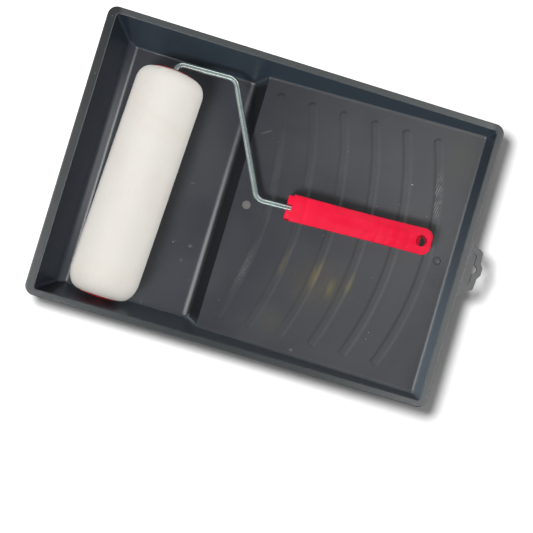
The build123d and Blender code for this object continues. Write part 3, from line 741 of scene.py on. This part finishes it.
def gripTop(x, y):
    size = grip
    wedgeStart, wedgeEnd = size["wedge"]
    narrowed = min(1.0, max(0.0, (x - wedgeStart) / (wedgeEnd - wedgeStart)))
    reach = size["half"] + (size["facetHalf"] - size["half"]) * narrowed
    beyond = abs(y) - reach
    drop = size["facetSlope"] * (beyond + sqrt(beyond**2 + size["crease"] ** 2)) / 2
    valleyPlace, width, depth = size["valley"]
    drop += depth * bell(x - valleyPlace, width * 0.62)
    bulge = size["grooveBulge"] * (1 - (y / size["half"]) ** 2)
    for index in range(size["grooves"]):
        along = x - size["grooveStart"] - index * size["groovePitch"] - bulge
        drop += size["grooveDepth"] * bell(along, size["grooveWidth"])
        drop -= size["ridge"] * bell(along + size["ridgeSetback"], size["grooveWidth"])
    past = x - size["length"] + size["endRound"]
    if past > 0:
        drop += size["endRound"] - sqrt(max(0.0, size["endRound"] ** 2 - past**2))
    past = size["front"] + size["frontRound"] - x
    if past > 0:
        drop += size["frontRound"] - sqrt(max(0.0, size["frontRound"] ** 2 - past**2))
    return size["top"] - drop


def gripHalf(x):
    size = grip
    reach = size["length"] if x > size["waistPlace"] else size["front"]
    away = (x - size["waistPlace"]) / (reach - size["waistPlace"])
    half = size["waist"] + (size["half"] - size["waist"]) * away**2
    for past, corner in (
        (x - size["length"] + size["endCorner"], size["endCorner"]),
        (size["front"] + size["frontCorner"] - x, size["frontCorner"]),
    ):
        if past > 0:
            half += sqrt(max(0.0, corner**2 - past**2)) - corner
    return half


def gripPoint(x, share):
    # share runs from -1 to 1 round the section, from the middle of the underside and back to it
    size = grip
    half = gripHalf(x)
    around = abs(share)
    way = 1 if share > 0 else -1
    topEnd, cornerEnd, sideEnd = size["shares"]
    inset = half - size["round"]
    step = 0.2 * mm
    slope = (gripTop(x, inset - step) - gripTop(x, inset)) / step
    lean = sin(min(0.6, max(0.0, slope)))
    start = inset + size["round"] * lean
    edge = gripTop(x, start) - size["round"] * cos(lean)
    if around < topEnd:
        y = start * around / topEnd
        z = gripTop(x, y)
    elif around < cornerEnd:
        turn = (pi / 2 - lean) * (1 - (around - topEnd) / (cornerEnd - topEnd))
        y = inset + size["round"] * cos(turn)
        z = edge + size["round"] * sin(turn)
    elif around < sideEnd:
        z = edge + (-size["top"] - edge) * (around - cornerEnd) / (sideEnd - cornerEnd)
        y = half - (edge - z) * size["taper"]
    else:
        y = (half - (edge + size["top"]) * size["taper"]) * (1 - around) / (1 - sideEnd)
        z = -size["top"]
    return Vector((x, way * y, z))


def meshPiece(name, mesh):
    data = bpy.data.meshes.new(name)
    mesh.to_mesh(data)
    mesh.free()
    return data


def roundEdges(mesh, edges, radius, segments):
    bmesh.ops.bevel(
        mesh,
        geom=edges,
        offset=radius,
        segments=segments,
        profile=0.5,
        affect="EDGES",
        material=-1,
    )


def carve(target, cutter, operation="DIFFERENCE"):
    holder = bpy.data.objects.new("carved", target)
    knife = bpy.data.objects.new("knife", cutter)
    for item in (holder, knife):
        bpy.context.scene.collection.objects.link(item)
    step = holder.modifiers.new("carve", "BOOLEAN")
    step.operation = operation
    step.solver = "EXACT"
    step.object = knife
    depsgraph = bpy.context.evaluated_depsgraph_get()
    result = bpy.data.meshes.new_from_object(holder.evaluated_get(depsgraph))
    for item in (holder, knife):
        bpy.data.objects.remove(item)
    bpy.data.meshes.remove(target)
    bpy.data.meshes.remove(cutter)
    return result


def block(low, high, bevel=0.0):
    mesh = bmesh.new()
    centre = [(first + second) / 2 for first, second in zip(low, high)]
    size = [second - first for first, second in zip(low, high)]
    matrix = Matrix.Translation(centre) @ Matrix.Diagonal((*size, 1.0))
    bmesh.ops.create_cube(mesh, size=1.0, matrix=matrix)
    if bevel:
        roundEdges(mesh, mesh.edges[:], bevel, 4)
    return meshPiece("block", mesh)


def rod(radius, low, high, turn=None, segments=64):
    mesh = bmesh.new()
    matrix = Matrix.Translation((Vector(low) + Vector(high)) / 2) @ (turn or Matrix())
    bmesh.ops.create_cone(
        mesh,
        cap_ends=True,
        segments=segments,
        radius1=radius,
        radius2=radius,
        depth=(Vector(high) - Vector(low)).length,
        matrix=matrix,
    )
    return meshPiece("rod", mesh)


def makeGripShell():
    size = grip
    rings = size["stations"] + size["cornerSteps"] * 2
    mesh = bmesh.new()
    bmesh.ops.create_grid(mesh, x_segments=rings, y_segments=size["sectionSteps"], size=1.0)
    frontEnd = size["front"] + size["frontCorner"]
    backStart = size["length"] - size["endCorner"]
    corner = size["cornerSteps"]
    for vert in mesh.verts:
        step = (vert.co.x + 1) / 2 * rings
        if step <= corner:
            x = frontEnd - size["frontCorner"] * cos(pi / 2 * step / corner)
        elif step >= rings - corner:
            x = backStart + size["endCorner"] * sin(pi / 2 * (1 - (rings - step) / corner))
        else:
            x = frontEnd + (backStart - frontEnd) * (step - corner) / size["stations"]
        vert.co = gripPoint(x, vert.co.y)
    bmesh.ops.remove_doubles(mesh, verts=mesh.verts, dist=0.002 * mm)
    bmesh.ops.holes_fill(mesh, edges=mesh.edges[:], sides=0)
    bmesh.ops.recalc_face_normals(mesh, faces=mesh.faces)
    return meshPiece("gripShell", mesh)


def makeChannel():
    size = grip
    foot, head, corner = size["channel"]
    roof = size["top"] - size["roof"]
    start = size["front"] + size["shell"]
    end = size["length"] - size["shell"]
    channel = block((start, -head, -size["top"] - 2 * mm), (end, head, roof))
    mesh = bmesh.new()
    mesh.from_mesh(channel)
    for vert in mesh.verts:
        if vert.co.z < roof - 1 * mm:
            vert.co.y *= (foot - 2 * mm * size["taper"]) / head
    upright = []
    for edge in mesh.edges:
        first, second = edge.verts
        if abs(first.co.z - second.co.z) > 1 * mm:
            upright.append(edge)
    roundEdges(mesh, upright, corner, 8)
    mesh.to_mesh(channel)
    mesh.free()
    high = size["top"]
    boss, bossEnd = size["boss"]
    # the boss round the wire, the webs across and the collar round the hole are left standing
    channel = carve(channel, block((0, -boss, -boss), (bossEnd, boss, high)))
    half, thick = size["half"], size["web"] / 2
    for webPlace in size["webs"]:
        web = block((webPlace - thick, -half, -boss), (webPlace + thick, half, high))
        channel = carve(channel, web)
    holePlace, holeRadius = size["hole"]
    collar = rod(holeRadius + size["shell"], (holePlace, 0, 0), (holePlace, 0, high))
    return carve(channel, collar)


def makeGrip():
    size = grip
    shell = carve(makeGripShell(), makeChannel())
    width, depth, edge = size["lug"]
    lugEnd = size["front"] + 2 * mm
    lug = block((0, -width / 2, -depth / 2), (lugEnd, width / 2, depth / 2), edge)
    shell = carve(shell, lug, "UNION")
    slotHigh = size["top"] + 2 * mm
    slot = block((-1 * mm, -size["slot"] / 2, 0), (size["front"], size["slot"] / 2, slotHigh))
    shell = carve(shell, slot)
    boreLength, boreRadius = size["bore"]
    bore = rod(boreRadius, (-1 * mm, 0, 0), (boreLength, 0, 0), Matrix.Rotation(pi / 2, 4, "Y"), 48)
    shell = carve(shell, bore)
    holePlace, holeRadius = size["hole"]
    hole = rod(holeRadius, (holePlace, 0, 0), (holePlace, 0, slotHigh), None, 96)
    shell = carve(shell, hole)
    mesh = bmesh.new()
    mesh.from_mesh(shell)
    bmesh.ops.remove_doubles(mesh, verts=mesh.verts, dist=0.001 * mm)
    bmesh.ops.recalc_face_normals(mesh, faces=mesh.faces)
    mesh.transform(gripFrame)
    mesh.to_mesh(shell)
    mesh.free()
    shell.name = "gripMoulding"
    shell.materials.clear()
    shell.shade_smooth()
    shell.set_sharp_from_angle(angle=radians(38))
    return finishPiece("gripMoulding", shell, "frame", gripRed, ["handle"])


gripPiece = makeGrip()
print("stage: grip made", len(gripPiece.data.polygons), "faces")


def dress(name, material):
    slots = nodes[name].data.materials
    slots.clear()
    slots.append(material)


dress("tray", anthracite)
dress("wire_frame", wireZinc)
for capName in ("inboard_cap", "outboard_cap"):
    dress(capName, capRed)
for hardName in ("inboard_washer", "outboard_washer", "push_nut"):
    dress(hardName, rodSteel)
for index in range(1, 6):
    dress(f"cage_rod_{index}", rodSteel)
for plainName in ("cage_spreader", "sleeve_core"):
    dress(plainName, milkyPlastic)
print("stage: CAD pieces dressed")

foamCover = {
    "steps": 220,  # round the roller
    "pitch": 1.1 * mm,  # along the roller
    # set back from the CAD end (less than nothing reaches past it), rounding along and inwards
    "farEnd": (-0.2 * mm, 15.0 * mm, 10.4 * mm),
    "nearEnd": (-1.0 * mm, 22.0 * mm, 13.5 * mm),
    "lip": (0.4 * mm, 1.6 * mm),  # thickness and width, over the core's near end
    "roundSteps": 14,
    "faceSteps": 6,
    "swell": 0.28 * mm,  # slow unevenness of the foam
    "swellScales": (38.0, 95.0),
    "cellDepth": 0.10 * mm,
    "cellScale": 700.0,
    "ragged": 0.35 * mm,  # unevenness of the trimmed ends
    "raggedScales": (3.1, 20.0),  # round the roller and along it
    "raggedReach": 5.0 * mm,
}


def foamEnd(reach, bore, skin, roundAlong, roundIn, lip=None):
    size = foamCover
    rim = skin - roundIn
    points = []
    if lip:
        points = [(reach - lip[0], bore), (reach - lip[0], bore - lip[1])]
        bore -= lip[1]
    steps = range(size["faceSteps"])
    points += [(reach, bore + (rim - bore) * step / size["faceSteps"]) for step in steps]
    for step in range(size["roundSteps"] + 1):
        turn = pi / 2 * step / size["roundSteps"]
        points.append((reach - roundAlong + roundAlong * cos(turn), rim + roundIn * sin(turn)))
    return points


def makeFoam():
    size = foamCover
    start, end = alongAxle("foam_cover")
    bore, skin = fromAxle("foam_cover")
    skin -= size["swell"] + size["cellDepth"]
    setback, *farRound = size["farEnd"]
    farReach = end - setback
    far = foamEnd(farReach, bore, skin, *farRound)
    setback, *nearRound = size["nearEnd"]
    nearReach = -start - setback
    near = foamEnd(nearReach, bore, skin, *nearRound, size["lip"])
    span = far[-1][0] + near[-1][0]
    runs = int(span / size["pitch"])
    profile = far + [(far[-1][0] - span * step / runs, skin) for step in range(1, runs)]
    profile += [(-along, reach) for along, reach in reversed(near)]
    mesh = bmesh.new()
    verts = [mesh.verts.new((reach, along, 0.0)) for along, reach in profile]
    edges = [mesh.edges.new(pair) for pair in zip(verts, verts[1:] + verts[:1])]
    bmesh.ops.spin(
        mesh,
        geom=verts + edges,
        axis=(0, 1, 0),
        cent=(0, 0, 0),
        angle=2 * pi,
        steps=size["steps"],
        use_merge=True,
    )
    bmesh.ops.recalc_face_normals(mesh, faces=mesh.faces)
    softDepth = skin - nearRound[1] - bore  # the bore itself stays true
    slowScale, quickScale = size["swellScales"]
    roundScale, alongScale = size["raggedScales"]
    for vert in mesh.verts:
        along = vert.co.y
        reach = sqrt(vert.co.x**2 + vert.co.z**2)
        outward = Vector((vert.co.x, 0, vert.co.z)) / reach
        share = min(1.0, max(0.0, (reach - bore) / softDepth))
        slow = noise.noise(vert.co * slowScale) + 0.5 * noise.noise(vert.co * quickScale)
        cell = noise.noise(vert.co * size["cellScale"])
        vert.co += outward * share * (slow * size["swell"] * 0.7 + cell * size["cellDepth"])
        way, inset = (1, farReach - along) if along > 0 else (-1, nearReach + along)
        spread = outward * roundScale + Vector((0, along * alongScale, 0))
        ragged = size["ragged"] * (noise.noise(spread) - 0.2)
        vert.co.y += way * ragged * max(0.0, 1.0 - inset / size["raggedReach"])
    mesh.transform(axleFrame)
    data = meshPiece("foamSleeve", mesh)
    data.shade_smooth()
    return finishPiece("foamSleeve", data, "roller", foamBody, ["foam_cover"])


foam = makeFoam()
print("stage: foam sleeve made", len(foam.data.polygons), "faces")

studio = {
    "white": (1.0, 1.0, 1.0, 1.0),
    "floorSize": 4.0,
    "floorColour": (0.62, 0.62, 0.62, 1.0),
    "floorBounce": (0.35, 0.35, 0.35, 1.0),
    "floorGlow": (0.03, 0.75),  # near the tray and far from it
    "glowReach": (0.26, 0.37),
    "worldLight": 0.30,
    "worldTint": (0.93, 0.98, 1.06, 1.0),
    # lamps: place, power and size
    "keyLamp": ((-0.48, -0.22, 1.18), 14.5, 0.8),
    "dropLamp": ((-0.34, -0.53, 1.15), 26.0, 0.36),
    "sideLamp": ((1.1, -0.1, 0.45), 9.0, 0.5),
    "floorLamp": ((-0.160, 0.016, 0.754), 12.6, 0.17),
    "foamLamps": (
        ((-1.04, 0.0, 0.62), 7.3, 0.6),
        ((0.76, 0.0, 0.62), 7.3, 0.6),
        ((-0.14, -0.22, 1.25), 3.2, 0.6),
        ((-0.1, 0.9, 0.8), 2.0, 0.6),
    ),
    # soft boxes seen in reflections: place, width, height, radiance on the tray and on the rest
    "boxes": (
        ((-0.95, -0.35, 1.05), 1.3, 1.00, 8.0, 0.6),
        ((1.0, -0.10, 0.95), 1.6, 1.30, 6.0, 0.6),
        ((0.0, -1.25, 0.85), 1.8, 0.40, 1.8, 3.4),
        ((0.0, 1.15, 0.85), 1.8, 0.34, 1.8, 3.4),
    ),
}


def makeFloor():
    mesh = bmesh.new()
    bmesh.ops.create_grid(mesh, x_segments=1, y_segments=1, size=studio["floorSize"] / 2)
    floor = bpy.data.objects.new("floor", meshPiece("floor", mesh))
    bpy.context.scene.collection.objects.link(floor)
    material, tree, shader, where = startMaterial("floorPaint")
    shader.inputs["Roughness"].default_value = 0.9
    shader.inputs["Specular IOR Level"].default_value = 0.0
    shader.inputs["Emission Color"].default_value = studio["white"]
    seen = place(tree, "LightPath").outputs["Is Camera Ray"]
    tone = mixColour(tree, seen, studio["floorBounce"], studio["floorColour"])
    tree.links.new(tone, shader.inputs["Base Color"])
    away = awayFromStart(tree, where)
    glow = fade(tree, away, *studio["glowReach"], *studio["floorGlow"])
    tree.links.new(times(tree, seen, glow), shader.inputs["Emission Strength"])
    floor.data.materials.append(material)
    floor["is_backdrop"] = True
    return floor


def makeLamp(name, where, power, width, length=None, hiddenFrom=("camera", "glossy")):
    lamp = bpy.data.lights.new(name, "AREA")
    lamp.shape = "RECTANGLE" if length else "DISK"
    lamp.size = width
    lamp.size_y = length or width
    lamp.energy = power
    holder = bpy.data.objects.new(name, lamp)
    bpy.context.scene.collection.objects.link(holder)
    holder.location = where
    holder.rotation_euler = (-Vector(where)).to_track_quat("-Z", "Y").to_euler()
    for rays in hiddenFrom:
        setattr(holder, "visible_" + rays, False)
    return holder


def gather(name, members):
    group = bpy.data.collections.new(name)
    for piece in members:
        group.objects.link(piece)
    return group


# A lamp lights only the pieces in lit, and only those in blocking cast its shadows
def linkLamp(lamp, lit, blocking=None):
    linking = lamp.light_linking
    linking.receiver_collection = gather(lamp.name + "lit", lit)
    if blocking:
        linking.blocker_collection = gather(lamp.name + "blocking", blocking)


floor = makeFloor()
tray = nodes["tray"]
others = [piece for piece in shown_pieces() if piece != tray]
linkLamp(makeLamp("keyLamp", *studio["keyLamp"]), [piece for piece in others if piece != foam])
for index, lampRow in enumerate(studio["foamLamps"]):
    linkLamp(makeLamp(f"foamLamp{index + 1}", *lampRow), [foam])
linkLamp(makeLamp("dropLamp", *studio["dropLamp"]), [tray], others)
linkLamp(makeLamp("sideLamp", *studio["sideLamp"]), [tray], [floor])
linkLamp(makeLamp("floorLamp", *studio["floorLamp"], None, ["camera"]), [floor])
for index, (where, width, length, *radiances) in enumerate(studio["boxes"]):
    for lit, blocking, radiance in zip(([tray], others), ([tray], [floor]), radiances):
        power = radiance * pi * width * length
        name = f"softBox{index + 1}"
        box = makeLamp(name, where, power, width, length, ["camera", "diffuse"])
        linkLamp(box, lit, blocking)

world = bpy.data.worlds.new("studioWorld")
bpy.context.scene.world = world
world.use_nodes = True
worldTree = world.node_tree
backdrop = next(node for node in worldTree.nodes if node.type == "BACKGROUND")
worldRays = place(worldTree, "LightPath")
glossy = worldRays.outputs["Is Glossy Ray"]
worldTone = mixColour(worldTree, glossy, studio["white"], studio["worldTint"])
worldTree.links.new(worldTone, backdrop.inputs["Color"])
seen = worldRays.outputs["Is Camera Ray"]
worldLevel = fade(worldTree, seen, 0.0, 1.0, studio["worldLight"], 1.0)
worldTree.links.new(worldLevel, backdrop.inputs["Strength"])

cameraView = {
    "place": (-0.0332, -0.0755, 0.8387),
    "aim": (0.0057, -0.0550, 0.0640),
    "turn": radians(16.53),
    "lens": 54.03,
    "sensor": 36.0,
}


def makeCamera():
    camera = bpy.data.objects.new("camera", bpy.data.cameras.new("camera"))
    bpy.context.scene.collection.objects.link(camera)
    camera.data.sensor_width = cameraView["sensor"]
    camera.data.lens = cameraView["lens"]
    forward = (Vector(cameraView["aim"]) - Vector(cameraView["place"])).normalized()
    upright = Vector((-sin(cameraView["turn"]), cos(cameraView["turn"]), 0.0))
    sideways = forward.cross(upright).normalized()
    upright = sideways.cross(forward)
    camera.matrix_world = Matrix.Translation(cameraView["place"]) @ Matrix(
        (sideways, upright, -forward)
    ).transposed().to_4x4()
    bpy.context.scene.camera = camera


makeCamera()
bpy.context.scene.view_settings.view_transform = "Standard"
print("stage: camera and lamps placed")
